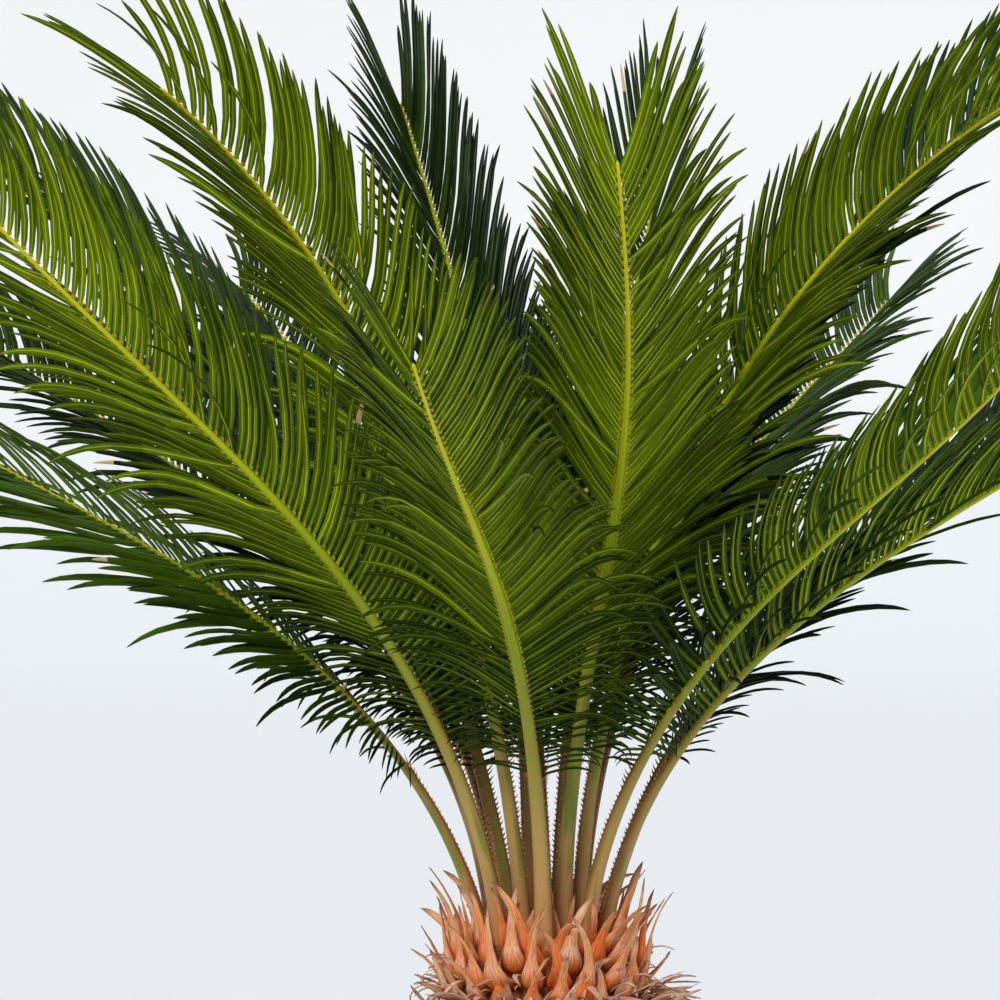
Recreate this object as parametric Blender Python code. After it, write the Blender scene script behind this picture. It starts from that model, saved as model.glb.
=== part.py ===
"""A sago palm: a short trunk clad in old leaf bases, a collar of pointed scale leaves round its
flat top, and a full crown of feather-shaped fronds. Metres, +Z up, the flat cut under the trunk
lies on Z = 0 with its centre at the origin. -Y is the side that the fronds named front_ lean to,
and +X is the side of the fronds named right_."""

import math

import bmesh
import bpy
from mathutils import Matrix, Vector
from mathutils.bvhtree import BVHTree

# Trunk
TRUNK_HEIGHT = 0.400
TRUNK_FOOT_RADIUS = 0.112
TRUNK_NECK_RADIUS = 0.102
TRUNK_TOP_RADIUS = 0.088
SHOULDER_HEIGHT = 0.060
FLARE = 0.14
FLARE_HEIGHT = 0.035
TRUNK_COLUMNS = 16
LEAF_BASE_ROWS = 13
FOOT_BAND = 0.008
LEAF_BASE_REACH = 0.015
LEAF_BASE_SHRINK = 0.62
LEAF_BASE_RISE = 0.005

# Scale leaves on the shoulder, row by row from the lowest: length and lean outward from upright
SCALE_ROWS = ((0.046, 40.0), (0.058, 21.0), (0.070, 5.0))
SCALE_WAIST = 0.45
SCALE_WAIST_SIZE = (0.016, 0.006)
SCALE_STAND_OFF = 0.009
SCALE_CURVE = 10.0
SCALE_TRIES = (1.0, 0.8, 0.62, 0.45, 0.3)

# Fronds
SEAT_GAP = 0.0003
RIB_WIDTH_BASE = 0.0175
RIB_WIDTH_TIP = 0.0028
RIB_DEPTH_SHARE = 0.76
RIB_TAPER = 1.5
PETIOLE_SHARE = 0.20
PETIOLE_STEPS = 5
LEAFLET_PAIRS = 26
LEAFLET_LENGTH = 0.176
LEAFLET_THICKNESS = 0.0024
LEAFLET_ELBOW = 0.52
LEAFLET_ELBOW_WIDTH = 0.62
LEAFLET_GROWS_UNTIL = 0.3
LEAFLET_FIRST_SHARE = 0.28
LEAFLET_GROWTH_POWER = 1.6
LEAFLET_SHRINKS_FROM = 0.55
LEAFLET_LAST_SHARE = 0.88
FORWARD_FOOT = 88.0
FORWARD_BLADE = 53.0
FORWARD_TIP = 36.0
FORWARD_SETTLES_AT = 0.55
FORWARD_CLOSES_FROM = 0.8
KEEL_START = 20.0
KEEL_END = 43.0
MIDDLE = 0.4
CLEARANCE = 0.002

# A leaflet closes towards its rib and hangs, by these angles at most and by these shares of them
# below and beyond its elbow. Near the blade's foot it closes less.
LEAFLET_CLOSES = 34.0
CLOSES_AT_FOOT = 0.25
CLOSES_FULLY_AT = 0.45
LEAFLET_HANGS = 58.0
LEAFLET_STRAIGHTER = 0.75
CLOSED_SHARES = (0.42, 0.93)
HUNG_SHARES = (0.07, 0.52)
HANG_OUTWARD = 0.2
HANG_BACKWARD = 0.2

# A leaflet that would touch another frond is raised or lowered, in degrees, then shortened
LEAFLET_TRIES = tuple(
    (share, raised)
    for share in (1.0, 0.85, 0.7, 0.55, 0.42)
    for raised in (0.0, 9.0, -9.0, 18.0, -18.0)
)

# Each frond: where its stalk stands on the trunk's flat top in mm, the compass heading it leans
# to and how far that turns along it, its lean from upright at the foot, two fifths up and at the
# tip, its roll about its own rib, how much more its leaflets stand up than KEEL, all in degrees,
# and its length from trunk to rib tip in metres
FRONDS = {
    "front_left": ((-2, -64), (261, -1), (3, 54, 58), -4, 2, 0.87),
    "front_right": ((17, -38), (289, -27), (-2, 45, 44), -2, 6, 0.94),
    "right_mid": ((37, -50), (321, -15), (6, 50, 43), 22, 10, 0.90),
    "right_low": ((54, -20), (338, -2), (8, 51, 50), 12, 6, 0.92),
    "right_high": ((31, -14), (328, 0), (2, 23, 61), -12, -8, 0.92),
    "right_far": ((53, 12), (356, 0), (10, 48, 56), 10, -4, 0.92),
    "right_back": ((33, 27), (15, 1), (-1, 26, 46), 18, 2, 0.95),
    "rear_low": ((56, 46), (32, 0), (14, 50, 67), 10, -4, 0.92),
    "rear_right": ((34, 62), (58, -4), (3, 45, 58), 0, 0, 0.94),
    "back_right": ((14, 42), (72, 0), (3, 25, 38), 0, 24, 0.90),
    "rear_mid": ((0, 68), (94, 0), (16, 48, 68), 0, 0, 0.92),
    "back_left": ((-13, 38), (97, 20), (3, 27, 34), -18, 24, 0.95),
    "rear_left": ((-35, 66), (132, 0), (8, 48, 60), 0, 0, 0.93),
    "left_back": ((-29, 1), (122, 2), (16, 36, 60), -14, -2, 0.86),
    "left_rear": ((-50, 48), (164, 0), (4, 46, 56), -20, -2, 0.94),
    "left_far": ((-48, 23), (172, 0), (8, 31, 55), -14, 0, 0.95),
    "left_high": ((-19, -17), (226, -3), (7, 23, 59), 16, -8, 0.92),
    "left_low": ((-57, -14), (203, 2), (13, 53, 56), -28, -24, 0.92),
    "left_mid": ((-42, -43), (220, 4), (8, 44, 48), 28, -1, 0.97),
}
# Fronds with stiffer leaflets, and how much these hang as a share of the others
STIFFER = {
    "right_mid": 0.3, "right_low": 0.25, "right_far": 0.2, "rear_low": 0.35, "left_low": 0.6,
}

# Which of a rib section's corners bound its left side, 1, and its right side, -1
SIDE_CORNERS = {1: (0, 3), -1: (1, 2)}

# A blade's points are four at its root, four at its elbow or waist, and its tip
BLADE_FACES = (
    (0, 1, 5, 4), (1, 2, 6, 5), (2, 3, 7, 6), (3, 0, 4, 7),
    (4, 5, 8), (5, 6, 8), (6, 7, 8), (7, 4, 8),
)


def clear_scene():
    for item in list(bpy.data.objects):
        bpy.data.objects.remove(item, do_unlink=True)


def material(name, colour, roughness):
    made = bpy.data.materials.new(name)
    made.use_nodes = True
    shader = made.node_tree.nodes["Principled BSDF"]
    shader.inputs["Base Color"].default_value = (*colour, 1.0)
    shader.inputs["Roughness"].default_value = roughness
    shader.inputs["Metallic"].default_value = 0.0
    return made


def twin(vertex, candidates):
    """The candidate that an extrusion made from this vertex, which still lies on it."""
    return min(candidates, key=lambda other: (other.co - vertex.co).length_squared)


def start_tube(mesh, points):
    """Makes the first face of a tube with its corners on the points."""
    bmesh.ops.create_circle(mesh, cap_ends=True, segments=len(points), radius=1.0)
    face = next(iter(mesh.faces))
    ring = list(face.verts)
    for vertex, point in zip(ring, points):
        vertex.co = point
    return face, ring


def extrude_ring(mesh, face, ring, points):
    """Extrudes the end face of a tube to the points, and returns the new face and its ring."""
    end = bmesh.ops.extrude_discrete_faces(mesh, faces=[face])["faces"][0]
    new_ring = [twin(vertex, end.verts) for vertex in ring]
    for vertex, point in zip(new_ring, points):
        vertex.co = point
    return end, new_ring


def grow_blade(mesh, corners, middle, tip):
    """Grows a blade out of the face with these corners: its four middle points, then its tip."""
    face, corners = extrude_ring(mesh, mesh.faces.get(corners), corners, middle)
    _, corners = extrude_ring(mesh, face, corners, [tip] * 4)
    bmesh.ops.pointmerge(mesh, verts=corners, merge_co=tip)


def box_of(points):
    low = Vector(min(p[i] for p in points) for i in range(3))
    high = Vector(max(p[i] for p in points) for i in range(3))
    return low, high


def boxes_meet(first, second):
    return all(
        first[0][i] <= second[1][i] and second[0][i] <= first[1][i] for i in range(3)
    )


class Taken:
    """The room that finished shapes take, each with its owner, so that new ones keep clear."""

    def __init__(self):
        self.shapes = []

    def take(self, owner, points, faces):
        """Takes the room of a shape, unless it touches another owner's. True when it is taken."""
        box, tree = box_of(points), BVHTree.FromPolygons(points, faces)
        for other, room, shape in self.shapes:
            if other != owner and boxes_meet(box, room) and tree.overlap(shape):
                return False
        self.shapes.append((owner, box, tree))
        return True


def smooth(x):
    x = min(1.0, max(0.0, x))
    return x * x * (3.0 - 2.0 * x)


def through_three(first, middle, last, t):
    """The parabola through first at 0, middle at MIDDLE and last at 1."""
    a = (t - MIDDLE) * (t - 1.0) / MIDDLE
    b = t * (t - 1.0) / (MIDDLE * (MIDDLE - 1.0))
    c = t * (t - MIDDLE) / (1.0 - MIDDLE)
    return first * a + middle * b + last * c


class Rib:
    """A frond's rib: points along it, each with the way on, the way up and the way to its side."""

    STEPS = 120

    def __init__(self, foot, heading, lean, roll, keel, length, hangs):
        self.heading, self.lean, self.roll = heading, lean, roll
        self.keel, self.hangs = keel, hangs
        point = Vector((foot[0] / 1000, foot[1] / 1000, TRUNK_HEIGHT + SEAT_GAP))
        self.points = [point]
        for step in range(self.STEPS):
            onward = self.axes((step + 0.5) / self.STEPS)[0]
            point = point + onward * (length / self.STEPS)
            self.points.append(point)

    def axes(self, t):
        """Onward along the rib, up out of the leaf's upper face, and out to its left side."""
        h = math.radians(self.heading[0] + self.heading[1] * t)
        a = math.radians(through_three(*self.lean, t))
        onward = Vector((math.cos(h) * math.sin(a), math.sin(h) * math.sin(a), math.cos(a)))
        up = Vector((-math.cos(h) * math.cos(a), -math.sin(h) * math.cos(a), math.sin(a)))
        turn = Matrix.Rotation(math.radians(self.roll) * smooth(t / MIDDLE), 3, onward)
        up = turn @ up
        return onward, up, up.cross(onward)

    def at(self, t):
        place = min(t, 1.0) * self.STEPS
        low = min(int(place), self.STEPS - 1)
        return self.points[low].lerp(self.points[low + 1], place - low)

    def section(self, t):
        """Four corners of the rib: upper left, upper right, lower right, lower left."""
        width = RIB_WIDTH_TIP + (RIB_WIDTH_BASE - RIB_WIDTH_TIP) * (1.0 - t) ** RIB_TAPER
        onward, up, side = self.axes(t)
        if t == 0.0:
            up = Vector((up.x, up.y, 0.0)).normalized()
            side = Vector((side.x, side.y, 0.0))
        centre, half, deep = self.at(t), side * width / 2, up * width * RIB_DEPTH_SHARE / 2
        return [centre + half + deep, centre - half + deep, centre - half - deep, centre + half - deep]


def rib_stations():
    """Where a rib has its sections: a few along the stalk, then one between leaflets."""
    stalk = [PETIOLE_SHARE * k / PETIOLE_STEPS for k in range(PETIOLE_STEPS)]
    blade = [
        PETIOLE_SHARE + (1.0 - PETIOLE_SHARE) * k / LEAFLET_PAIRS
        for k in range(LEAFLET_PAIRS + 1)
    ]
    return stalk + blade


def leaflet_length(along):
    """Short at the foot of the blade, full from a third up, a little shorter at the tip."""
    missing = max(0.0, 1.0 - along / LEAFLET_GROWS_UNTIL) ** LEAFLET_GROWTH_POWER
    past = max(0.0, (along - LEAFLET_SHRINKS_FROM) / (1.0 - LEAFLET_SHRINKS_FROM)) ** 2
    share = 1.0 - (1.0 - LEAFLET_FIRST_SHARE) * missing - (1.0 - LEAFLET_LAST_SHARE) * past
    return LEAFLET_LENGTH * share


def leaflet_forward(along):
    """Degrees off the rib: wide at the foot of the blade, then steady, and closing at its tip."""
    opening = max(0.0, 1.0 - along / FORWARD_SETTLES_AT) ** 2
    closing = max(0.0, (along - FORWARD_CLOSES_FROM) / (1.0 - FORWARD_CLOSES_FROM)) ** 2
    forward = FORWARD_BLADE + (FORWARD_FOOT - FORWARD_BLADE) * opening
    return forward - (FORWARD_BLADE - FORWARD_TIP) * closing


def leaflet_closes(along):
    """Degrees that a leaflet closes in all towards the rib's tip."""
    share = CLOSES_AT_FOOT + (1.0 - CLOSES_AT_FOOT) * smooth(along / CLOSES_FULLY_AT)
    standing = math.sin(math.radians(leaflet_forward(along)))
    return LEAFLET_CLOSES * share * standing / math.sin(math.radians(FORWARD_BLADE))


def leaflet_ways(along, keel, hangs, onward, up, side):
    """The way a leaflet goes from the rib to its elbow, and from there to its tip."""
    forward = math.radians(leaflet_forward(along))
    rise = math.radians(keel + KEEL_START + (KEEL_END - KEEL_START) * along)
    outward = side * math.cos(rise) + up * math.sin(rise)
    first = onward * math.cos(forward) + outward * math.sin(forward)
    closes = math.radians(leaflet_closes(along))
    down = side * HANG_OUTWARD - up * HANG_BACKWARD - Vector((0.0, 0.0, 1.0))
    down = down - first * down.dot(first)
    hangs = hangs * math.radians(LEAFLET_HANGS) * (1.0 - LEAFLET_STRAIGHTER * along) * down.length
    ways = []
    for closed, hung in zip(CLOSED_SHARES, HUNG_SHARES):
        way = Matrix.Rotation(closes * closed, 3, first.cross(onward)) @ first
        ways.append(Matrix.Rotation(hangs * hung, 3, first.cross(down)) @ way)
    return ways


def leaflet_shape(rib, pair, sign, share, raised, spare):
    """A leaflet's corners on the rib, its four elbow points and its tip. spare thickens it."""
    stations = rib_stations()
    near, far = stations[PETIOLE_STEPS + pair], stations[PETIOLE_STEPS + pair + 1]
    along = (pair + 0.5) / LEAFLET_PAIRS
    onward, up, side = rib.axes((near + far) / 2)
    side = side * sign
    top, under = SIDE_CORNERS[sign]
    root = [
        rib.section(near)[top],
        rib.section(far)[top],
        rib.section(far)[under],
        rib.section(near)[under],
    ]
    way, way_on = leaflet_ways(along, rib.keel + raised, rib.hangs, onward, up, side)
    length = leaflet_length(along) * share
    middle = sum(root, Vector()) / 4
    elbow = middle + way * length * LEAFLET_ELBOW
    tip = elbow + way_on * (length * (1.0 - LEAFLET_ELBOW) + spare)
    across = (onward - way * onward.dot(way)).normalized()
    upper = across.cross(way)
    if upper.dot(up) < 0.0:
        upper = -upper
    width = (root[1] - root[0]).cross(way).length * LEAFLET_ELBOW_WIDTH + spare
    half, thick = across * width / 2, upper * (LEAFLET_THICKNESS + spare) / 2
    elbows = [elbow - half + thick, elbow + half + thick, elbow + half - thick, elbow - half - thick]
    return root, elbows, tip


def place_leaflets(ribs, taken):
    """Chooses each leaflet's length and rise so that no frond touches another."""
    chosen = {}
    for pair in range(LEAFLET_PAIRS):
        for name, rib in ribs.items():
            for sign in (1, -1):
                for share, raised in LEAFLET_TRIES:
                    root, elbows, tip = leaflet_shape(rib, pair, sign, share, raised, CLEARANCE)
                    if taken.take(name, [*root, *elbows, tip], BLADE_FACES):
                        chosen[name, pair, sign] = (share, raised)
                        break
    return chosen


def rib_hull(rib):
    """The rib's whole length as points and faces, for the test that keeps leaflets off it."""
    stations = rib_stations()
    points = [corner for t in stations for corner in rib.section(t)]
    faces = []
    for k in range(len(stations) - 1):
        for i in range(4):
            j = (i + 1) % 4
            faces.append((4 * k + i, 4 * k + j, 4 * k + 4 + j, 4 * k + 4 + i))
    return points, faces


def build_frond(name, rib, chosen, leaf, collection, parent):
    """One solid: the stalk and rib as a tapering tube, with a leaflet grown from each side cell."""
    mesh = bmesh.new()
    foot = rib.at(0.0)
    stations = rib_stations()
    face, ring = start_tube(mesh, [p - foot for p in rib.section(0.0)])
    rings = [ring]
    for t in stations[1:]:
        face, ring = extrude_ring(mesh, face, ring, [p - foot for p in rib.section(t)])
        rings.append(ring)
    bmesh.ops.contextual_create(mesh, geom=rings[0])
    for pair in range(LEAFLET_PAIRS):
        near, far = rings[PETIOLE_STEPS + pair], rings[PETIOLE_STEPS + pair + 1]
        for sign, (top, under) in SIDE_CORNERS.items():
            if (name, pair, sign) not in chosen:
                continue
            share, raised = chosen[name, pair, sign]
            _, elbows, tip = leaflet_shape(rib, pair, sign, share, raised, 0.0)
            corners = [near[top], far[top], far[under], near[under]]
            grow_blade(mesh, corners, [p - foot for p in elbows], tip - foot)
    bmesh.ops.recalc_face_normals(mesh, faces=mesh.faces)
    finish_object(f"frond_{name}", mesh, foot, leaf, collection, parent)


def trunk_radius(z):
    """The trunk's core: flared at the foot, tapering above it, drawn in over the shoulder."""
    radius = TRUNK_FOOT_RADIUS + (TRUNK_NECK_RADIUS - TRUNK_FOOT_RADIUS) * z / TRUNK_HEIGHT
    radius *= 1.0 + FLARE * math.exp(-z / FLARE_HEIGHT)
    over = max(0.0, z - (TRUNK_HEIGHT - SHOULDER_HEIGHT)) / SHOULDER_HEIGHT
    drawn = math.sqrt(max(0.0, 1.0 - over * over))
    return TRUNK_TOP_RADIUS + (radius - TRUNK_TOP_RADIUS) * drawn


def trunk_levels():
    body_top = TRUNK_HEIGHT - SHOULDER_HEIGHT
    rows = [
        FOOT_BAND + (body_top - FOOT_BAND) * k / LEAF_BASE_ROWS
        for k in range(LEAF_BASE_ROWS + 1)
    ]
    shoulder = [
        body_top + SHOULDER_HEIGHT * (k + 1) / len(SCALE_ROWS)
        for k in range(len(SCALE_ROWS))
    ]
    return [0.0, *rows, *shoulder]


def trunk_ring(level, z):
    """Each ring stands half a column round from the one below it, so the cells run in spirals."""
    step = 2 * math.pi / TRUNK_COLUMNS
    radius = trunk_radius(z)
    turn = step * 0.5 * level
    return [
        Vector((radius * math.cos(step * k + turn), radius * math.sin(step * k + turn), z))
        for k in range(TRUNK_COLUMNS)
    ]


def leaf_base_face(corners):
    """The outer face of an old leaf base: smaller than its cell, pushed out and a little up."""
    middle = sum(corners, Vector()) / 4
    outward = Vector((middle.x, middle.y, 0.0)).normalized()
    shift = outward * LEAF_BASE_REACH + Vector((0.0, 0.0, LEAF_BASE_RISE))
    return [middle + (corner - middle) * LEAF_BASE_SHRINK + shift for corner in corners]


def scale_shape(corners, length, lean, share):
    """A pointed scale leaf that rises out of a shoulder cell: four waist points and the tip."""
    middle = sum(corners, Vector()) / 4
    outward = Vector((middle.x, middle.y, 0.0)).normalized()
    sideways = Vector((-outward.y, outward.x, 0.0))
    a = math.radians(lean)
    rise = outward * math.sin(a) + Vector((0.0, 0.0, math.cos(a)))
    bend = math.radians(lean + SCALE_CURVE)
    rise_on = outward * math.sin(bend) + Vector((0.0, 0.0, math.cos(bend)))
    thick = outward * math.cos(a) - Vector((0.0, 0.0, math.sin(a)))
    waist = middle + outward * SCALE_STAND_OFF + rise * length * share * SCALE_WAIST
    tip = waist + rise_on * length * share * (1.0 - SCALE_WAIST)
    wide, deep = sideways * SCALE_WAIST_SIZE[0] / 2, thick * SCALE_WAIST_SIZE[1] / 2
    return [waist - wide + deep, waist + wide + deep, waist + wide - deep, waist - wide - deep], tip


def build_trunk(bark, collection, parent, taken):
    mesh = bmesh.new()
    levels = trunk_levels()
    face, ring = start_tube(mesh, trunk_ring(0, levels[0]))
    rings = [ring]
    for level, z in enumerate(levels[1:], start=1):
        face, ring = extrude_ring(mesh, face, ring, trunk_ring(level, z))
        rings.append(ring)
    bmesh.ops.contextual_create(mesh, geom=rings[0])
    for level in range(1, len(levels) - 1):
        lower, upper = rings[level], rings[level + 1]
        for k in range(TRUNK_COLUMNS):
            after = (k + 1) % TRUNK_COLUMNS
            corners = [lower[k], lower[after], upper[after], upper[k]]
            points = [vertex.co.copy() for vertex in corners]
            row = level - 1 - LEAF_BASE_ROWS
            if row < 0:
                extrude_ring(mesh, mesh.faces.get(corners), corners, leaf_base_face(points))
                continue
            length, lean = SCALE_ROWS[row]
            for share in SCALE_TRIES:
                waist, tip = scale_shape(points, length, lean, share)
                if taken.take("trunk", [*points, *waist, tip], BLADE_FACES):
                    grow_blade(mesh, corners, waist, tip)
                    break
    bmesh.ops.recalc_face_normals(mesh, faces=mesh.faces)
    finish_object("trunk", mesh, Vector(), bark, collection, parent)


def finish_object(name, mesh, place, finish, collection, parent):
    data = bpy.data.meshes.new(name)
    mesh.to_mesh(data)
    mesh.free()
    made = bpy.data.objects.new(name, data)
    made.location = place
    made.parent = parent
    data.materials.append(finish)
    collection.objects.link(made)


def main():
    clear_scene()
    collection = bpy.data.collections.new("sago_palm")
    bpy.context.scene.collection.children.link(collection)
    parent = bpy.data.objects.new("sago_palm_stand", None)
    collection.objects.link(parent)
    leaf = material("leaf_green", (0.085, 0.16, 0.02), 0.45)
    bark = material("bark_brown", (0.36, 0.20, 0.11), 0.85)
    ribs = {name: Rib(*sizes, STIFFER.get(name, 1.0)) for name, sizes in FRONDS.items()}
    taken = Taken()
    for name, rib in ribs.items():
        taken.take(name, *rib_hull(rib))
    build_trunk(bark, collection, parent, taken)
    chosen = place_leaflets(ribs, taken)
    for name, rib in ribs.items():
        build_frond(name, rib, chosen, leaf, collection, parent)


main()
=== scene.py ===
"""The looks of a sago palm: a short trunk clad in old leaf bases and woolly scale leaves, and a
full crown of fronds, each a tapering rib with two rows of narrow leaflets. Metres, +Z up, ground
level at Z = 0. The camera looks along +Y, and +X is to the right in its picture."""

import math

import bpy
import numpy as np
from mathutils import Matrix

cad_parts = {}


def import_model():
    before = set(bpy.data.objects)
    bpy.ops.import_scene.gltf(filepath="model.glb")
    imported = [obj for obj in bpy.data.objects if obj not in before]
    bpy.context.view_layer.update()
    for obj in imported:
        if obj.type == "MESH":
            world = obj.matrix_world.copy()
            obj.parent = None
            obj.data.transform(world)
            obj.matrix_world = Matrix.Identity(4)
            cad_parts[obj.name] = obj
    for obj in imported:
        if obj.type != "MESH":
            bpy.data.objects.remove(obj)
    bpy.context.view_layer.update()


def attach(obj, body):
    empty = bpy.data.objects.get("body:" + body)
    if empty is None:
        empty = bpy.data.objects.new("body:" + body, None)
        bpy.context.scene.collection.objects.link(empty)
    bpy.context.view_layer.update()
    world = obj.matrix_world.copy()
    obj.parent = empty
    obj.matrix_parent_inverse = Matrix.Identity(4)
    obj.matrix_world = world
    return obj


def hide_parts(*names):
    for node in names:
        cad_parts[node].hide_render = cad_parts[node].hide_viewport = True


SEED = 2711

# Camera: level, with the trunk's axis at a column and its flat top at a row of its picture
PICTURE = 1000
CAMERA_DISTANCE = 3.6
METRES_PER_PIXEL = 0.00095
AXIS_COLUMN = 545
TRUNK_TOP_ROW = 940
SENSOR = 36.0
SIGHT = 100.0

# Stage: a round floor that sweeps up into a wall
FLOOR_RADIUS = 16.0
FLOOR_RINGS = (2.0, 6.0, 12.8)
SWEEP_RADIUS = 6.0
SWEEP_STEPS = 14
WALL_HEIGHT = 9.0
STAGE_COLUMNS = 128
# Colours by the distance over the floor and up the sweep, to even out how the light falls
STAGE_COLOURS = (
    (0.0, (220, 223, 226)), (8.0, (218, 221, 224)), (12.0, (217, 220, 223)),
    (15.9, (214, 218, 221)), (16.8, (211, 215, 218)), (17.6, (209, 213, 216)),
    (19.1, (208, 211, 213)), (21.3, (214, 216, 217)), (23.4, (218, 219, 219)),
)
STAGE_ROUGHNESS = (0.85, 0.95)

# Light: a plain sky, and lamps with the compass heading each shines from, its height above the
# horizon, its strength and its spread in degrees
SKY_COLOUR = (242, 244, 248)
SKY_STRENGTH = 0.46
LAMPS = {
    "key": (-118.0, 36.0, 2.0, 14.0),
    "fill": (-50.0, 24.0, 0.6, 50.0),
    "top": (80.0, 72.0, 0.8, 50.0),
}

# Trunk
TRUNK_HEIGHT = 0.4
TRUNK_RADII = (0.112, 0.102)
TRUNK_TOP_RADIUS = 0.088
SHOULDER_HEIGHT = 0.06
FLARE = 0.14
FLARE_HEIGHT = 0.035

# Fronds
SEAT_GAP = 0.0003
RIB_WIDTHS = (0.0028, 0.0175)
RIB_DEPTH_SHARE = 0.76
RIB_TAPER = 1.5
PETIOLE_SHARE = 0.2
MIDDLE = 0.4
LEAFLET_LENGTH = 0.176
LEAFLET_GROWS_UNTIL = 0.3
LEAFLET_FIRST_SHARE = 0.28
LEAFLET_GROWTH_POWER = 1.6
LEAFLET_SHRINKS_FROM = 0.55
LEAFLET_LAST_SHARE = 0.88
# Degrees that leaflets stand off the rib, and rise out of the blade's plane
FORWARD_FOOT = 88.0
FORWARD_BLADE = 53.0
FORWARD_TIP = 36.0
FORWARD_SETTLES_AT = 0.55
FORWARD_CLOSES_FROM = 0.8
KEELS = (20.0, 43.0)
# A leaflet closes towards the rib's tip, less near the blade's foot, then its own tip hangs, the
# more the leveller it lies: down, and a little out and below the blade
LEAFLET_CLOSES = 34.0
CLOSES_AT_FOOT = 0.25
CLOSES_FULLY_AT = 0.45
LEAFLET_HANGS = 58.0
LEAFLET_STRAIGHTER = 0.75
HANG_OUTWARD = 0.2
HANG_BACKWARD = 0.2
# Some leaflets lie loose, by a share at the blade's foot and at its tip: lower by a range of
# degrees, more along the rib by a mean and a spread, and hanging more
LOOSE_SHARES = (0.28, 0.08)
LOOSE_LOWER = (9.6, 28.8)
LOOSE_FORWARD = (-8.0, 5.0)
LOOSE_HANGS = 0.3

# Each frond: where its stalk stands on the trunk's flat top in mm, the compass heading it leans
# to and how far that turns, its lean from upright at the foot, two fifths up and at the tip, its
# roll, how much steeper than usual its leaflets stand up, all in degrees, its rib's length in
# metres, and its tone from the brightest green at 0 to the darkest at 1, partly its own green and
# partly painted shade, darkest for the fronds at the back of the crown
FRONDS = {
    "front_left": ((-2, -64), (261, -1), (3, 54, 58), -4, 2, 0.87, 0.34),
    "front_right": ((17, -38), (289, -27), (-2, 45, 44), -2, 6, 0.94, 0.2),
    "right_mid": ((37, -50), (321, -15), (6, 50, 43), 22, 10, 0.9, 0.22),
    "right_low": ((54, -20), (338, -2), (8, 51, 50), 12, 6, 0.92, 0.12),
    "right_high": ((31, -14), (328, 0), (2, 23, 61), -12, -8, 0.92, 0.08),
    "right_far": ((53, 12), (356, 0), (10, 48, 56), 10, -4, 0.92, 0.55),
    "right_back": ((33, 27), (15, 1), (-1, 26, 46), 18, 2, 0.95, 0.72),
    "rear_low": ((56, 46), (32, 0), (14, 50, 67), 10, -4, 0.92, 0.6),
    "rear_right": ((34, 62), (58, -4), (3, 45, 58), 0, 0, 0.94, 0.5),
    "back_right": ((14, 42), (72, 0), (3, 25, 38), 0, 24, 0.9, 0.66),
    "rear_mid": ((0, 68), (94, 0), (16, 48, 68), 0, 0, 0.92, 0.45),
    "back_left": ((-13, 38), (97, 20), (3, 27, 34), -18, 24, 0.95, 0.84),
    "rear_left": ((-35, 66), (132, 0), (8, 48, 60), 0, 0, 0.93, 0.55),
    "left_back": ((-29, 1), (122, 2), (16, 36, 60), -14, -2, 0.86, 0.8),
    "left_rear": ((-50, 48), (164, 0), (4, 46, 56), -20, -2, 0.94, 0.75),
    "left_far": ((-48, 23), (172, 0), (8, 31, 55), -14, 0, 0.95, 0.5),
    "left_high": ((-19, -17), (226, -3), (7, 23, 59), 16, -8, 0.92, 0.1),
    "left_low": ((-57, -14), (203, 2), (13, 53, 56), -28, -24, 0.92, 0.14),
    "left_mid": ((-42, -43), (220, 4), (8, 44, 48), 28, -1, 0.97, 0.14),
}
# Fronds with stiffer leaflets, and how much these hang as a share of the others
STIFFER = {
    "right_mid": 0.3, "right_low": 0.25, "right_far": 0.2, "rear_low": 0.35, "left_low": 0.6,
}

# The way between two leaflets along the rib, at the blade's foot and what the tip adds, and how
# many such ways up the first one of each side stands
SPACING_FOOT = 0.0064
SPACING_ADDED = 0.0036
ROW_STARTS = {1: 0.3, -1: 0.8}
LAST_PLACE = 0.995
# Where a root sits beside and above the rib's middle, by its width and depth
LEAFLET_SEAT = (0.36, 0.18)
LEAFLET_WIDTH = 0.0066
LEAFLET_WIDTH_FIRST = 0.003
LEAFLET_WIDTH_LAST = 0.006
LEAFLET_FULL_WIDTH_AT = 0.26
SHORT_TIP_FROM = 0.972
SHORT_TIP_LOSS = 0.45
# A leaflet turns on edge until it shows this share of its room, or this least share of its width
OVERLAP = 0.9
LEAST_SHOWN = 0.42
# The least room from another rib, and the shares of length and degrees of rise tried for less
CLEARANCE = 0.0015
OTHER_WAYS = ((1.0, 9.0), (1.0, -9.0), (1.0, 18.0), (0.7, -14.0), (0.5, 0.0))
# How unevenly leaflets lie: slowly along a row, and from one to the next
WANDER_WAVES = (2.3, 5.1, 11.7)
WAVE_STARTS = (0.0, 6.28)
FORWARD_UNEVEN = (1.2, 0.8)
KEEL_UNEVEN = (2.0, 1.2)
HANG_UNEVEN = (0.3, 0.12)
HANG_LIMITS = (0.2, 2.2)
LEAN_UNEVEN = (6.0, 5.0)
LENGTH_UNEVEN = 0.035
WIDTH_UNEVEN = 0.05
# Along a leaflet: place and share of its whole closing and hanging
CLOSING_COURSE = ((0.0, 0.0), (0.2, 0.34), (0.5, 0.76), (0.8, 0.98), (1.0, 1.0))
HANGING_COURSE = ((0.0, 0.0), (0.3, 0.06), (0.5, 0.2), (0.7, 0.46), (0.85, 0.72), (1.0, 1.0))
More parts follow.
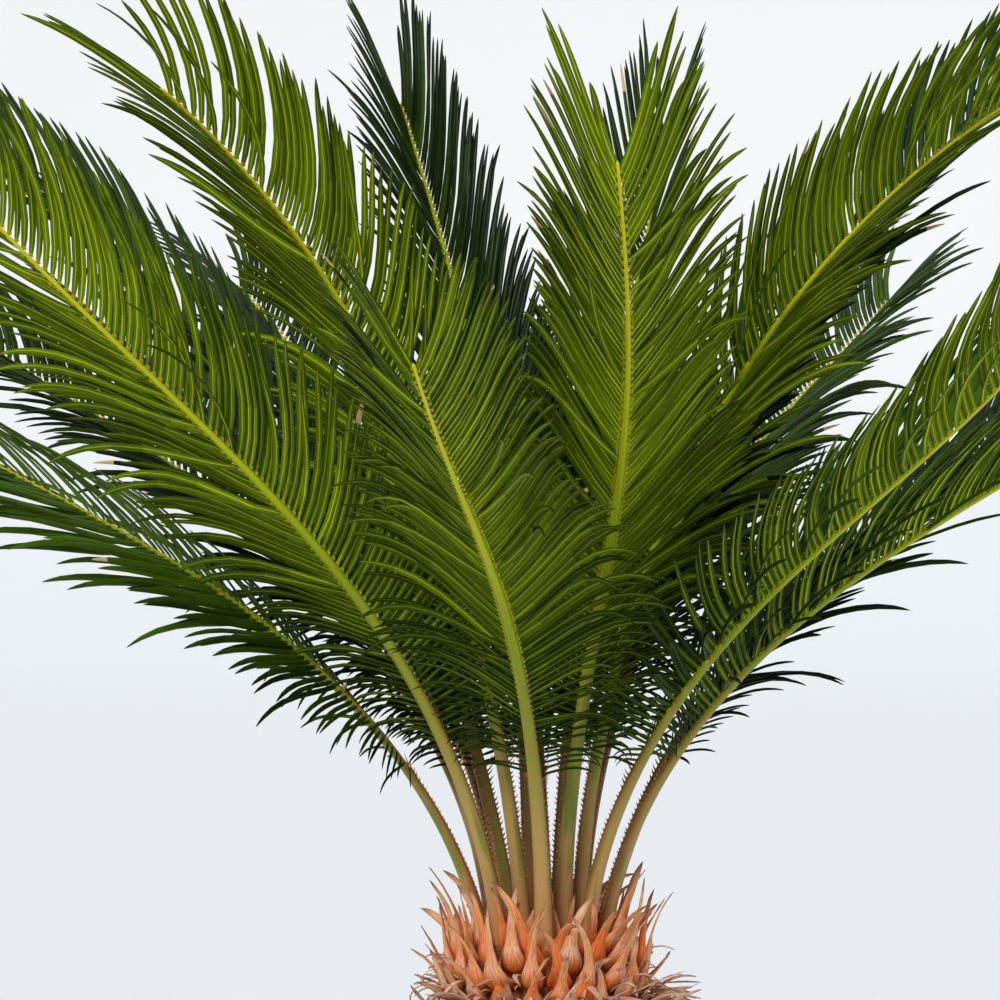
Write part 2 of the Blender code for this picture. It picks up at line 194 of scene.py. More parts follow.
# Along a leaflet: place, share of its width and of its thickness
LEAFLET_OUTLINE = (
    (0.0, 0.92, 0.9), (0.02, 0.66, 0.9), (0.06, 0.88, 1.0), (0.16, 0.99, 1.0),
    (0.33, 1.0, 1.0), (0.5, 1.0, 1.0), (0.66, 0.97, 1.0), (0.79, 0.86, 0.9),
    (0.89, 0.66, 0.8), (0.95, 0.42, 0.6), (0.985, 0.18, 0.3),
)
# Across a leaflet, in half widths: the arched top, then below it edge, valley, midrib, valley, edge
LEAFLET_SECTION = (
    (-1.0, -0.1), (-0.55, 0.22), (0.0, 0.3), (0.55, 0.22), (1.0, -0.1),
    (0.86, -0.36), (0.15, 0.0), (0.0, -0.3), (-0.15, 0.0), (-0.86, -0.36),
)
# The points of a leaflet that are tested for room
TESTED = slice(3 * len(LEAFLET_SECTION), None, 5)
TOP, UNDER, MIDRIB = 0, 1, 2
LEAFLET_PARTS = (TOP, TOP, TOP, TOP, TOP, UNDER, MIDRIB, MIDRIB, UNDER, TOP)
TONES = 6
FOOT_SLOT = 3 * TONES
DRY_SLOT = FOOT_SLOT + 1
# Shares of all tones: how the blade's foot is darker up to a place, as painted shade where the
# leaflets above shade it, the whole blade brightens and each leaflet darkens, and how unevenly
# tones are dealt out
FOOT_PAINTED_SHADE = 0.65
FOOT_PAINTED_SHADE_UNTIL = 0.34
BLADE_BRIGHTENS = 0.18
LEAFLET_DARKENS = 0.24
LEAFLET_DARKENS_FROM = 0.3
TONE_UNEVEN = (0.09, 0.15)
TONE_SPECKLE = 0.02
# Dried ends: how many, and from where along a leaflet
DRY_SHARE = 0.02
DRY_FROM = (0.76, 0.97)
# Brightest and darkest colour, roughness and gloss, in the order of the slots. The darker steps
# also carry painted shade, and the underside's green is lighter than its own as painted light
# shining through the leaflets
LEAF_LOOKS = {
    "top": ((68, 98, 10), (15, 29, 2), 0.36, 0.12),
    # the underside: its own paler green, made lighter still as painted light shining through
    "underside_lit_through": ((108, 130, 14), (32, 48, 4), 0.6, 0.05),
    "midrib": ((190, 200, 48), (68, 88, 20), 0.6, 0.05),
}
LEAF_END_LOOKS = {"foot": ((176, 172, 20), 0.5, 0.3), "dry": ((205, 178, 120), 0.7, 0.3)}

# Rib: its section from the left edge over the flat top to the right edge and round below
RIB_SECTION = (
    (-1.0, 0.15), (-0.8, 0.62), (-0.35, 0.62), (0.0, 0.5), (0.35, 0.62), (0.8, 0.62),
    (1.0, 0.15), (0.88, -0.45), (0.5, -0.88), (0.0, -1.0), (-0.5, -0.88), (-0.88, -0.45),
)
RIB_EDGES = (1.0, 1.0, 0.6, 0.5, 0.6, 1.0, 1.0, 0.35, 0.0, 0.0, 0.0, 0.35)
RIB_STATIONS = 90
RIB_STATIONS_POWER = 1.15
RIB_SUNK = 0.014
RIB_FOOT_FLARE = 0.3
RIB_FLARE_FADES = 0.03
RIB_POINT = 0.004
RIB_SAMPLES = 70
GRAIN_WIDTH = 0.008
GRAIN_SHIFT = 1.7
# Colours along a rib, then along its spined edges: yellow for fronds below this tone
YELLOW_BELOW = 0.4
RIB_LOOKS = {
    "rib_yellow": (
        ((0.0, (184, 126, 78)), (0.05, (180, 136, 82)), (0.13, (170, 142, 76)),
         (0.22, (150, 140, 52)), (0.42, (140, 158, 14)), (0.6, (176, 188, 4)), (1.0, (214, 204, 8))),
        ((0.0, (132, 80, 44)), (0.3, (120, 78, 34)), (1.0, (190, 160, 20))),
    ),
    "rib_green": (
        ((0.0, (172, 116, 72)), (0.05, (166, 124, 76)), (0.13, (152, 126, 70)),
         (0.22, (130, 122, 54)), (0.45, (104, 126, 26)), (0.7, (136, 152, 22)),
         (1.0, (178, 172, 18))),
        ((0.0, (124, 76, 42)), (0.3, (104, 70, 34)), (1.0, (150, 136, 30))),
    ),
}
# Green patches on a stalk, and how its spined edges are coloured by its streaks and fade
PATCH_COLOURS = ((0.0, (78, 108, 26)), (1.0, (122, 146, 44)))
PATCH_NOISE = (0.53, 0.61)
PATCHES_BEGIN = (0.03, 0.08)
PATCHES_MOST = 0.8
PATCHES_END = (0.2, 0.4)
EDGE_SHARES = (0.25, 1.25)
EDGES_FADE = (0.18, 0.34)

GOLDEN_ANGLE = math.pi * (3.0 - math.sqrt(5.0))
UPRIGHT = np.array([0.0, 0.0, 1.0])

# Trunk core: its mesh, the woolly dome between the stalks, its waves, and its heights and greatest
# radii where it draws in under the fresh scale leaves
CORE_COLUMNS = 160
CORE_ROWS = 90
DOME_RINGS = 16
DOME_UNEVEN = 0.0008
CORE_WAVES = 14
CORE_WAVE_DEPTH = 0.00077
CORE_WAVES_ROUND = (5, 40)
CORE_WAVES_CLIMB = (60.0, 420.0)
CORE_INSET = 0.004
DOME_HEIGHT = 0.014
CORE_SHOULDER = ((0.325, 0.106), (0.34, 0.096), (0.352, 0.087), (0.366, 0.079), (0.4, 0.07))

# An oval section with a flatter inner face, for scale leaves, leaf bases and strips
HUSK_SECTION = (
    (-1.0, 0.0), (-0.72, 0.62), (-0.28, 0.94), (0.28, 0.94), (0.72, 0.62),
    (1.0, 0.0), (0.66, -0.52), (0.0, -0.66), (-0.66, -0.52),
)
# Outlines: place, share of the width and of the thickness
SCALE_OUTLINE = (
    (0.0, 0.7, 0.8), (0.07, 0.92, 1.0), (0.14, 1.0, 1.0), (0.21, 0.95, 0.92),
    (0.28, 0.78, 0.72), (0.35, 0.58, 0.52), (0.43, 0.43, 0.36), (0.53, 0.35, 0.24),
    (0.65, 0.31, 0.16), (0.77, 0.26, 0.12), (0.88, 0.18, 0.08), (0.96, 0.08, 0.05),
)
STUB_OUTLINE = (
    (0.0, 1.0, 1.0), (0.25, 0.98, 1.0), (0.5, 0.92, 0.94), (0.72, 0.86, 0.84),
    (0.88, 0.8, 0.74), (0.96, 0.62, 0.56), (0.99, 0.3, 0.26),
)
STRIP_OUTLINE = (
    (0.0, 0.8, 1.0), (0.12, 1.0, 1.0), (0.28, 0.92, 0.9), (0.44, 0.8, 0.8),
    (0.6, 0.66, 0.7), (0.75, 0.5, 0.6), (0.88, 0.32, 0.45), (0.96, 0.16, 0.25),
)
# Courses: place and share of the whole bend
NECK_COURSE = ((0.0, 0.0), (0.08, 0.08), (0.3, 1.0), (1.0, 1.0))
BLADE_COURSE = ((0.0, 0.0), (0.3, 0.0), (0.62, 0.4), (1.0, 1.0))
EVEN_COURSE = ((0.0, 0.0), (1.0, 1.0))
STRIP_COURSE = ((0.0, 0.0), (0.3, 0.1), (0.6, 0.4), (0.8, 0.75), (1.0, 1.0))
# Each kind of cladding: its skin, outline and course, its count, the lowest and highest root and
# their way out of the core, its lean from upright there and the bend along it in degrees, its
# length, half width and half thickness, how these differ, how ragged it is, and how unevenly it
# leans and rolls in degrees and strays and swerves sideways
CLADDING = {
    "old_leaf_bases": (
        "old_leaf_base", STUB_OUTLINE, EVEN_COURSE, 460, 0.012, 0.318, -0.003, 58.0, -16.0,
        0.031, 0.0125, 0.0075, 0.12, 0.06, 6.0, 10.0, 0.06, 0.15,
    ),
    "dry_scales": (
        "dry_husk", STRIP_OUTLINE, STRIP_COURSE, 430, 0.03, 0.352, 0.003, 62.0, 46.0,
        0.046, 0.0058, 0.0018, 0.24, 0.1, 13.0, 31.0, 0.06 + 7 / 60, 0.43,
    ),
    "dry_strips": (
        "dry_strip", STRIP_OUTLINE, STRIP_COURSE, 520, 0.262, 0.374, 0.005, 58.0, 60.0,
        0.036, 0.0036, 0.0008, 0.36, 0.1, 22.0, 58.0, 0.06 + 16 / 60, 0.79,
    ),
}
# How unevenly all stand round the trunk in radians and up it, and the limits of their shares
CLADDING_UNEVEN = (0.05, 0.003)
SIZE_LIMITS = (0.4, 1.8)
DEPTH_LIMITS = (0.5, 1.6)
FIBRE_SHIFTS = (-9.0, 9.0)
FIBRE_FLATTENED = 0.6
# Rows of fresh scale leaves: height and radius of their roots, count, length, lean at the root
# and how far the neck rises from that
SCALE_ROWS = (
    (0.35, 0.08, 21, 0.068, 76.0, 56.0),
    (0.364, 0.075, 20, 0.086, 66.0, 52.0),
    (0.378, 0.067, 19, 0.092, 54.0, 42.0),
    (0.39, 0.059, 16, 0.088, 42.0, 30.0),
)
SCALE_HALF_WIDTH = 0.0148
SCALE_HALF_DEPTH = 0.0088
# How far a scale leaf's blade turns outward, and how unevenly outward and sideways, in degrees
BLADE_OUTWARD = 12.0
BLADE_UNEVEN = (26.0, 36.0)
# How unevenly it stands: round the trunk in radians, out and up, and in lean, rise and roll
SCALE_LENGTHS = (0.72, 1.2)
SCALE_SIZES = (0.7, 1.14)
SCALE_PLACE_UNEVEN = (0.04, 0.0015, 0.002)
SCALE_TURN_UNEVEN = (5.0, 8.0, 34.0)
SCALE_STRAY = 0.08
SCALE_RAGGED = 0.05
SCALE_ROUGH = 0.00025
# Scale leaves among the stalks: how many are tried, within which radius, their room from a stalk
# and from each other, their height, length and size, and their lean in the middle and outermost
HEART_TRIES = 900
HEART_RADIUS = 0.056
HEART_ROOM = (0.0135, 0.0115)
HEART_HEIGHT = 0.394
HEART_LENGTH = 0.062
HEART_SIZE = 0.62
HEART_LEANS = (8.0, 30.0)
HEART_RISE = 8.0
# Dry skins: light and dark colours along each body, the colour of their cracks and roughness
HUSK_LOOKS = {
    # the core's own brown bark, darkened as painted shade for the gaps among the cladding where it shows
    "trunk_bark_and_shade": (
        ((0.0, (96, 58, 38)), (1.0, (140, 90, 60))),
        ((0.0, (72, 42, 28)), (1.0, (112, 70, 46))),
        (50, 30, 20), 0.9,
    ),
    "old_leaf_base": (
        ((0.0, (84, 56, 42)), (0.55, (134, 98, 76)), (0.85, (168, 134, 108)), (1.0, (150, 112, 84))),
        ((0.0, (70, 48, 38)), (0.55, (112, 84, 68)), (0.85, (140, 112, 94)), (1.0, (112, 84, 66))),
        (58, 38, 28), 0.9,
    ),
    "dry_husk": (
        ((0.0, (150, 92, 58)), (0.4, (216, 164, 128)), (0.8, (236, 194, 160)), (1.0, (184, 138, 108))),
        ((0.0, (116, 72, 48)), (0.4, (186, 142, 114)), (0.8, (208, 170, 144)), (1.0, (134, 96, 76))),
        (104, 66, 46), 0.85,
    ),
    "dry_strip": (
        ((0.0, (190, 122, 80)), (0.5, (244, 200, 166)), (0.85, (236, 196, 164)), (1.0, (160, 114, 88))),
        ((0.0, (150, 92, 62)), (0.5, (216, 166, 134)), (0.85, (190, 146, 120)), (1.0, (108, 72, 56))),
        (120, 74, 50), 0.85,
    ),
    "fresh_scale": (
        ((0.0, (160, 66, 26)), (0.12, (210, 100, 40)), (0.22, (220, 138, 84)),
         (0.32, (238, 190, 154)), (0.5, (238, 170, 118)), (0.8, (246, 196, 152)), (1.0, (150, 100, 70))),
        ((0.0, (150, 54, 18)), (0.12, (216, 88, 26)), (0.3, (240, 116, 40)),
         (0.45, (236, 124, 52)), (0.6, (244, 148, 80)), (0.85, (236, 168, 120)), (1.0, (112, 70, 46))),
        (116, 54, 26), 0.8,
    ),
}
CRACK_NOISE = (0.53, 0.34)
CRACKS_MOST = 0.65

# Spines along a stalk's edges: their places, and their lengths at its foot and at the blade
SPINE_FROM = 0.03
SPINE_STEP = 0.0048
SPINE_UNEVEN = 0.0006
SPINE_LENGTHS = (0.0016, 0.0038)
SPINE_DIFFERS = (0.6, 1.3)
SPINE_LAST_ADDED = 0.009
SPINE_LAST_FROM = 0.86
SPINE_HALVES = (0.0009, 0.0013)
# By the rib's width: how far beside and above its middle they stand, and how deep
SPINE_SEAT = (0.4, 0.2)
SPINE_SUNK = 0.1
# Their way out, up and on, and how far they bend on, in radians
SPINE_OUT = (0.7, 1.1)
SPINE_UP = 0.35
SPINE_ON = 0.55
SPINE_BEND = 0.5
SPINE_OUTLINE = ((0.0, 1.0, 1.0), (0.45, 0.62, 0.62), (0.8, 0.28, 0.28))
SPINE_SECTION = ((1.0, 0.0), (0.0, 1.0), (-1.0, 0.0), (0.0, -1.0))
SPINE_COLOURS = ((0.25, (120, 72, 36)), (0.55, (176, 118, 62)), (0.8, (216, 168, 108)))


def unit(v):
    return v / np.linalg.norm(v, axis=-1, keepdims=True)


def dot(a, b):
    return np.sum(a * b, axis=-1, keepdims=True)


def turned(v, axis, angle):
    """The vectors turned about unit axes by angles in radians."""
    cosine = np.cos(angle)
    return v * cosine + np.cross(axis, v) * np.sin(angle) + axis * dot(axis, v) * (1 - cosine)


def smooth(x):
    x = np.clip(x, 0.0, 1.0)
    return x * x * (3.0 - 2.0 * x)


def blend(ends, share):
    return ends[0] + (ends[1] - ends[0]) * share


def before(x, end):
    """From 1 at 0 down to 0 at the end, and 0 from there on."""
    return np.maximum(0, 1 - x / end)


def beyond(x, start):
    """0 up to the start, and from there up to 1 at 1."""
    return np.maximum(0, (x - start) / (1 - start))


def through_three(first, middle, last, t):
    """The parabola through first at 0, middle at MIDDLE and last at 1."""
    a = (t - MIDDLE) * (t - 1.0) / MIDDLE
    b = t * (t - 1.0) / (MIDDLE * (MIDDLE - 1.0))
    c = t * (t - MIDDLE) / (1 - MIDDLE)
    return first * a + middle * b + last * c


def linear(colour):
    """A colour given as 0 to 255 in a picture, as the light it stands for, and opaque."""
    shares = [c / 255 for c in colour]
    light = [c / 12.92 if c <= 0.04045 else ((c + 0.055) / 1.055) ** 2.4 for c in shares]
    return (*light, 1.0)


def square_to(v, first):
    """The unit part of v that stands square to the unit vector first."""
    return unit(v - first * dot(v, first))


class Rib:
    """A frond's rib: points along it, each with the way on, the way up and the way to its side."""

    STEPS = 480

    def __init__(self, foot, heading, lean, roll, keel, length, hangs):
        self.keel, self.length, self.hangs = keel, length, hangs
        self.heading, self.lean, self.roll = heading, lean, roll
        onward = self.axes((np.arange(self.STEPS) + 0.5) / self.STEPS)[0]
        start = np.array([foot[0] / 1000, foot[1] / 1000, TRUNK_HEIGHT + SEAT_GAP])
        steps = np.cumsum(onward * length / self.STEPS, axis=0)
        self.points = np.vstack([start, start + steps])

    def axes(self, t):
        """Onward along the rib, up out of the leaf's upper face, and out to its left side."""
        t = np.atleast_1d(t)
        h = np.radians(self.heading[0] + self.heading[1] * t)
        a = np.radians(through_three(*self.lean, t))
        onward = np.stack([np.cos(h) * np.sin(a), np.sin(h) * np.sin(a), np.cos(a)], axis=-1)
        up = np.stack([-np.cos(h) * np.cos(a), -np.sin(h) * np.cos(a), np.sin(a)], axis=-1)
        up = turned(up, onward, (math.radians(self.roll) * smooth(t / MIDDLE))[:, None])
        return onward, up, np.cross(up, onward)

    def at(self, t):
        place = np.linspace(0.0, 1.0, self.STEPS + 1)
        return np.stack([np.interp(t, place, self.points[:, i]) for i in range(3)], axis=-1)

    def width(self, t):
        return blend(RIB_WIDTHS, (1 - t) ** RIB_TAPER)


def leaflet_length(along):
    """Short at the foot of the blade, full from a third up, a little shorter at the tip."""
    missing = before(along, LEAFLET_GROWS_UNTIL) ** LEAFLET_GROWTH_POWER
    past = beyond(along, LEAFLET_SHRINKS_FROM) ** 2
    share = 1 - (1 - LEAFLET_FIRST_SHARE) * missing - (1 - LEAFLET_LAST_SHARE) * past
    return LEAFLET_LENGTH * share


def leaflet_forward(along):
    """Degrees off the rib: wide at the foot, then steady, and closing at the tip."""
    opening = before(along, FORWARD_SETTLES_AT) ** 2
    closing = beyond(along, FORWARD_CLOSES_FROM) ** 2
    forward = blend((FORWARD_BLADE, FORWARD_FOOT), opening)
    return forward - (FORWARD_BLADE - FORWARD_TIP) * closing


def leaflet_closes(along):
    """Degrees that a leaflet closes in all towards the rib's tip."""
    share = blend((CLOSES_AT_FOOT, 1.0), smooth(along / CLOSES_FULLY_AT))
    standing = np.sin(np.radians(leaflet_forward(along))) / math.sin(math.radians(FORWARD_BLADE))
    return LEAFLET_CLOSES * share * standing


def leaflet_width(along):
    grown = blend((LEAFLET_WIDTH_FIRST, LEAFLET_WIDTH), smooth(along / LEAFLET_FULL_WIDTH_AT))
    return grown - (LEAFLET_WIDTH - LEAFLET_WIDTH_LAST) * along**3


def leaflet_places(length, shift):
    """Where one row's leaflets stand along the blade, from 0 to 1, closer together at its foot."""
    blade = length * (1 - PETIOLE_SHARE)
    count = int(blade / SPACING_ADDED * math.log(1 + SPACING_ADDED / SPACING_FOOT))
    steps = np.arange(count) + shift
    return SPACING_FOOT / SPACING_ADDED * (np.exp(SPACING_ADDED * steps / blade) - 1.0)


def wander(rng, places):
    """A slow random course along the blade, mostly between -1 and 1."""
    course = np.zeros(len(places))
    for wave in WANDER_WAVES:
        course += rng.normal(0, 0.5) * np.sin(wave * math.pi * places + rng.uniform(*WAVE_STARTS))
    return course


def uneven(amounts, places, rng):
    """What a slow course along the blade and a difference from one leaflet to the next add."""
    slow, single = amounts
    return slow * wander(rng, places) + rng.normal(0, single, len(places))


def bent_bodies(root, first, across, bends, sizes, outline, section, roll=None):
    """Slim closed bodies that leave their roots along first and bend.

    root, first and across hold a vector for each body. A bend gives the way it goes for each
    body, its whole turn in radians, and its course as places and shares of that. sizes are length,
    half width and half thickness, the outline gives place, width and thickness shares, and the
    section its corners, one set for all or for each body. Returns each body's points, ring by
    ring with the tip last.
    """
    outline, section = np.array(outline), np.array(section)
    if section.ndim == 2:
        section = section[None]
    section = section[:, None]
    place = outline[:, 0]
    knots = np.append(place, 1.0)
    length, half, thick = (np.asarray(s)[:, None] for s in sizes)

    def bent(v, places):
        v = v[:, None]
        for aside, angle, course in bends:
            hinge = unit(np.cross(first, aside))[:, None]
            share = np.interp(places, *np.array(course).T)
            v = turned(v, hinge, (angle[:, None] * share)[..., None])
        return v

    steps = bent(first, (knots[1:] + knots[:-1]) / 2)
    steps = steps * (np.diff(knots) * length)[..., None]
    centres = root[:, None] + np.concatenate(
        [np.zeros_like(steps[:, :1]), np.cumsum(steps, axis=1)], axis=1
    )
    onward, across = bent(first, place), bent(across, place)
    if roll is not None:
        across = turned(across, onward, (roll[:, None] * place)[..., None])
    upper = np.cross(onward, across)
    wide = (half * outline[:, 1])[..., None, None] * across[:, :, None]
    deep = (thick * outline[:, 2])[..., None, None] * upper[:, :, None]
    rings = centres[:, :-1, None] + wide * section[..., :1] + deep * section[..., 1:]
    bodies = rings.reshape(len(root), -1, 3)
    return np.concatenate([bodies, centres[:, -1:]], axis=1)


def body_faces(count, rings, corners):
    """Faces of bodies laid out as above: sides by body, ring and corner, then tips, then roots."""
    size = rings * corners + 1
    start = (np.arange(count) * size)[:, None, None]
    low = start + (np.arange(rings - 1) * corners)[:, None]
    high = low + corners
    last = start + (rings - 1) * corners
    here = np.arange(corners)
    after = (here + 1) % corners
    sides = np.stack([low + here, high + here, high + after, low + after], axis=-1)
    tip = np.broadcast_to(start + size - 1, (count, 1, corners))
    tips = np.stack([last + here, tip, last + after], axis=-1)
    roots = start[:, 0] + here
    return [*sides.reshape(-1, 4).tolist(), *tips.reshape(-1, 3).tolist(), *roots.tolist()]


def add_object(name, data):
    added = bpy.data.objects.new(name, data)
    bpy.context.scene.collection.objects.link(added)
    return added


def make_piece(name, points, faces, materials, indices=None, values=None):
    """A smooth-shaded mesh piece. values are named numbers or vectors for each point."""
    mesh = bpy.data.meshes.new(name)
    mesh.from_pydata(points.reshape(-1, 3).tolist(), [], faces)
    for material in materials:
        mesh.materials.append(material)
    if indices is not None:
        mesh.polygons.foreach_set("material_index", np.asarray(indices, dtype=np.int32))
    mesh.polygons.foreach_set("use_smooth", np.ones(len(mesh.polygons), dtype=bool))
    for key, data in (values or {}).items():
        vector = data.ndim > 1 and data.shape[-1] == 3
        layer = mesh.attributes.new(key, "FLOAT_VECTOR" if vector else "FLOAT", "POINT")
        layer.data.foreach_set("vector" if vector else "value", data.astype(np.float32).ravel())
    mesh.update()
    return add_object(name, mesh)


def dress_frond(piece, name):
    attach(piece, "root")
    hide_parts(f"frond_{name}")


def dress_trunk(piece):
    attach(piece, "root")
    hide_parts("trunk")


# Leaflets


def gap_to(points, obstacles):
    """The least room between each body's points and the obstacles, given as points and radii."""
    centres, radii = obstacles
    away = np.linalg.norm(points[:, :, None] - centres, axis=-1) - radii
    return away.min(axis=(1, 2))


def grow_row(rib, sign, rng, obstacles):
    """One row of leaflets on one side of a rib: their points, and their places along the blade."""
    along = leaflet_places(rib.length, ROW_STARTS[sign])
    along = along[along < LAST_PLACE]
    count = len(along)
    t = PETIOLE_SHARE + (1 - PETIOLE_SHARE) * along
    onward, up, side = rib.axes(t)
    side = side * sign
    width = rib.width(t)[:, None]
    beside, above = LEAFLET_SEAT
    root = rib.at(t) + side * (width * beside) + up * (width * RIB_DEPTH_SHARE * above)

    loose = rng.random(count) < blend(LOOSE_SHARES, along)
    forward = leaflet_forward(along) + uneven(FORWARD_UNEVEN, along, rng)
    forward = np.radians(forward + loose * rng.normal(*LOOSE_FORWARD, count))
    keel = rib.keel + blend(KEELS, along) + uneven(KEEL_UNEVEN, along, rng)
    keel = keel - loose * rng.uniform(*LOOSE_LOWER, count)
    spread = np.clip(1 + uneven(HANG_UNEVEN, along, rng), *HANG_LIMITS)
    share = rib.hangs * spread + LOOSE_HANGS * loose
    hang = np.radians(LEAFLET_HANGS) * (1 - LEAFLET_STRAIGHTER * along) * share
    closes = np.radians(leaflet_closes(along))
    length = leaflet_length(along) * (1 + rng.normal(0, LENGTH_UNEVEN, count))
    length *= 1 - SHORT_TIP_LOSS * smooth(beyond(along, SHORT_TIP_FROM))
    half = leaflet_width(along) * (1 + rng.normal(0, WIDTH_UNEVEN, count)) / 2
    lean = np.radians(uneven(LEAN_UNEVEN, along, rng))[:, None]

    spacing = SPACING_FOOT + SPACING_ADDED * along
    shown = np.clip(OVERLAP * spacing * np.sin(forward) / (2 * half), LEAST_SHOWN, 1.0)
    tilt = np.arccos(shown)[:, None]

    def shape(share, raised):
        """The row's leaflets at a share of their length, raised by some degrees."""
        rise = np.radians(keel + raised)[:, None]
        outward = side * np.cos(rise) + up * np.sin(rise)
        ahead = forward[:, None]
        first = onward * np.cos(ahead) + outward * np.sin(ahead)
        aside = side * HANG_OUTWARD - up * HANG_BACKWARD - UPRIGHT
        aside = aside - first * dot(aside, first)
        pull = np.linalg.norm(aside, axis=-1)
        aside = turned(unit(aside), first, lean)
        across = square_to(onward, first)
        facing = np.sign(dot(np.cross(first, across), up))
        across = turned(across, first, tilt * facing) * facing
        sizes = (length * share, half, half)
        bends = ((onward, closes, CLOSING_COURSE), (aside, hang * pull, HANGING_COURSE))
        return bent_bodies(root, first, across, bends, sizes, LEAFLET_OUTLINE, LEAFLET_SECTION)

    points = shape(1.0, 0.0)
    touching = gap_to(points[:, TESTED], obstacles) < CLEARANCE
    kept = ~touching
    for share, raised in OTHER_WAYS:
        if not touching.any():
            break
        tried = shape(share, raised)
        free = touching & (gap_to(tried[:, TESTED], obstacles) >= CLEARANCE)
        points[free] = tried[free]
        touching &= ~free
        kept |= free
    return points[kept], along[kept]


def leaflet_slots(along, tone_and_shade, rng):
    """Material slots of a frond's leaflets, in the order of their faces."""
    count = len(along)
    base = tone_and_shade + uneven(TONE_UNEVEN, along, rng) + BLADE_BRIGHTENS * (0.5 - along)
    # painted shade: the blade's foot is darker, where the leaflets above shade it
    base = base + FOOT_PAINTED_SHADE * before(along, FOOT_PAINTED_SHADE_UNTIL)
    outer = np.array([place for place, _, _ in LEAFLET_OUTLINE[:-1]])
    shade = base[:, None] + LEAFLET_DARKENS * (outer - LEAFLET_DARKENS_FROM)
    shade = shade + rng.normal(0, TONE_SPECKLE, shade.shape)
    step = np.clip(np.round(shade * (TONES - 1)), 0, TONES - 1).astype(int)
    sides = np.array(LEAFLET_PARTS) * TONES + step[:, :, None]
    sides[:, 0] = FOOT_SLOT
    dry_from = np.where(rng.random(count) < DRY_SHARE, rng.uniform(*DRY_FROM, count), np.inf)
    sides[outer >= dry_from[:, None]] = DRY_SLOT
    tips = sides[:, -1]
    roots = np.full(count, FOOT_SLOT)
    return np.concatenate([sides.ravel(), tips.ravel(), roots])


def make_leaflets(name, rib, tone_and_shade, materials, obstacles, rng):
    rows = [grow_row(rib, sign, rng, obstacles) for sign in ROW_STARTS]
    points, along = (np.concatenate(parts) for parts in zip(*rows))
    faces = body_faces(len(points), len(LEAFLET_OUTLINE), len(LEAFLET_SECTION))
    slots = leaflet_slots(along, tone_and_shade, rng)
    dress_frond(make_piece(f"leaflets_{name}", points, faces, materials, slots), name)


# Ribs


def make_rib(name, rib, material, shift):
    """The stalk and rib as one tube with its tip closed to a point."""
    t = np.linspace(0.0, 1.0, RIB_STATIONS) ** RIB_STATIONS_POWER
    onward, up, side = rib.axes(t)
    half = (rib.width(t) / 2 * (1 + RIB_FOOT_FLARE * np.exp(-t / RIB_FLARE_FADES)))[:, None]
    centre = rib.at(t)
    centre[0] -= onward[0] * RIB_SUNK
    section = np.array(RIB_SECTION)
    wide, deep = (side * half)[:, None], (up * half * RIB_DEPTH_SHARE)[:, None]
    rings = centre[:, None] + wide * section[:, :1] + deep * section[:, 1:]
    tip = centre[-1] + onward[-1] * RIB_POINT
    points = np.concatenate([rings.reshape(-1, 3), tip[None]])
    along = np.append(np.repeat(t, len(section)), 1.0)
    edge = np.append(np.tile(RIB_EDGES, RIB_STATIONS), 0.0)
    grain = np.vstack([np.tile(section, (RIB_STATIONS, 1)), np.zeros(2)]) * GRAIN_WIDTH
    local = np.column_stack([grain[:, 0] + shift, grain[:, 1], along * rib.length])
    values = {"along": along, "edge": edge, "local": local}
    faces = body_faces(1, RIB_STATIONS, len(section))
    dress_frond(make_piece(f"rib_{name}", points, faces, [material], values=values), name)


def make_spines(ribs, material, rng):
    """The short spines that stand along both edges of every stalk, longer towards the blade."""
    reach = PETIOLE_SHARE - SPINE_FROM
    rows = []
    for rib in ribs.values():
        count = int(reach * rib.length / SPINE_STEP)
        for sign in (1, -1):
            t = np.linspace(SPINE_FROM, PETIOLE_SHARE, count) + rng.normal(0, SPINE_UNEVEN, count)
            onward, up, side = rib.axes(t)
            side = side * sign
            width = rib.width(t)[:, None]
            share = (t - SPINE_FROM) / reach
            root = rib.at(t) + side * width * SPINE_SEAT[0] + up * width * SPINE_SEAT[1]
            out = rng.uniform(*SPINE_OUT, (count, 1))
            first = unit(side * out + up * SPINE_UP + onward * SPINE_ON)
            length = blend(SPINE_LENGTHS, share) * rng.uniform(*SPINE_DIFFERS, count)
            length += width[:, 0] * SPINE_SUNK + SPINE_LAST_ADDED * beyond(share, SPINE_LAST_FROM)
            half = rng.uniform(*SPINE_HALVES, count)
            across = square_to(onward, first)
            bends = ((onward, np.full(count, SPINE_BEND), EVEN_COURSE),)
            sizes = (length, half, half)
            shape = (sizes, SPINE_OUTLINE, SPINE_SECTION)
            rows.append(bent_bodies(root, first, across, bends, *shape))
    points = np.concatenate(rows)
    faces = body_faces(len(points), len(SPINE_OUTLINE), len(SPINE_SECTION))
    piece = make_piece("stalk_spines", points, faces, [material])
    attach(piece, "root")


# Trunk


def trunk_radius(z):
    """The trunk's core: flared at the foot, tapering above it, drawn in over the shoulder."""
    radius = blend(TRUNK_RADII, z / TRUNK_HEIGHT) * (1 + FLARE * np.exp(-z / FLARE_HEIGHT))
    over = np.maximum(0, z - (TRUNK_HEIGHT - SHOULDER_HEIGHT)) / SHOULDER_HEIGHT
    return blend((TRUNK_TOP_RADIUS, radius), np.sqrt(np.maximum(0, 1 - over * over)))


def core_radius(z):
    """The core as the cladding and the fresh scale leaves cover it."""
    return np.minimum(trunk_radius(z) - CORE_INSET, np.interp(z, *np.array(CORE_SHOULDER).T))


def round_axis(radii, levels, columns, top):
    """Rings of points round the trunk's axis, then the point that closes them."""
    angle = np.arange(columns) * 2 * math.pi / columns
    rings = np.stack([radii * np.cos(angle), radii * np.sin(angle), levels + 0 * angle], axis=-1)
    return np.concatenate([rings.reshape(-1, 3), [[0.0, 0.0, top]]])


